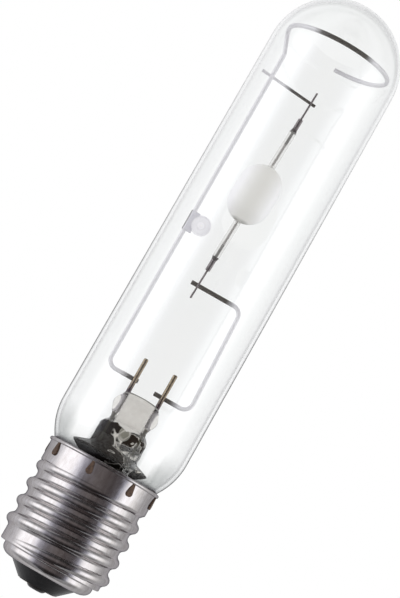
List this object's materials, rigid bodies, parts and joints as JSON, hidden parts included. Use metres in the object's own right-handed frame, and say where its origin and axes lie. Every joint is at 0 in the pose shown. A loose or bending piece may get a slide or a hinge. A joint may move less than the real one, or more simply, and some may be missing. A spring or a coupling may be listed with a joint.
{
  "type": "metal halide lamp",
  "caption": "Clear tubular discharge lamp with a domed end, a ceramic arc tube held on a wire frame, a pressed glass stem and a screw cap.",
  "frame": {"origin": "tip of the centre contact, on the lamp's axis", "axes": "+Z along the lamp from the centre contact to the dome; -Y is the side with both lead pins in front of the frame wires; +X is to the right seen from there"},
  "size_m": [0.046, 0.046, 0.222],
  "materials": {
    "plated_shell": "nickel plated, bright",
    "cement": "matte, baked",
    "black_glass": "gloss, opaque",
    "contact_plate": "tarnished",
    "solder": "worn",
    "clear_glass": "clear, polished",
    "stem_glass": "clear, pressed",
    "lead_pin": "drawn, heat tinted",
    "lead_wire": "drawn",
    "frame_wire": "drawn, satin",
    "getter_metal": "satin",
    "getter_powder": "matte, pressed",
    "arc_ceramic": "satin, translucent",
    "arc_lead": "drawn",
    "frit": "gloss",
    "electrode": "drawn"
  },
  "bodies": {
    "root": {"screw_shell": "plated_shell", "basing_cement": "cement", "cap_insulator": "black_glass", "centre_contact": "contact_plate", "contact_solder": "solder", "outer_bulb": "clear_glass", "exhaust_tube": "stem_glass", "glass_stem": "stem_glass", "left_lead_pin": "lead_pin", "right_lead_pin": "lead_pin", "left_seal_wire": "lead_wire", "right_seal_wire": "lead_wire", "shell_lead": "lead_wire", "shell_weld": "lead_wire", "contact_lead": "lead_wire", "long_frame_wire": "frame_wire", "short_frame_wire": "frame_wire", "upper_cross_wire": "frame_wire", "getter_clip": "getter_metal", "getter_pan": "getter_metal", "getter_compound": "getter_powder", "arc_tube": "arc_ceramic", "upper_feedthrough": "arc_lead", "lower_feedthrough": "arc_lead", "upper_frit_seal": "frit", "lower_frit_seal": "frit", "upper_electrode": "electrode", "lower_electrode": "electrode"}
  },
  "joints": []
}
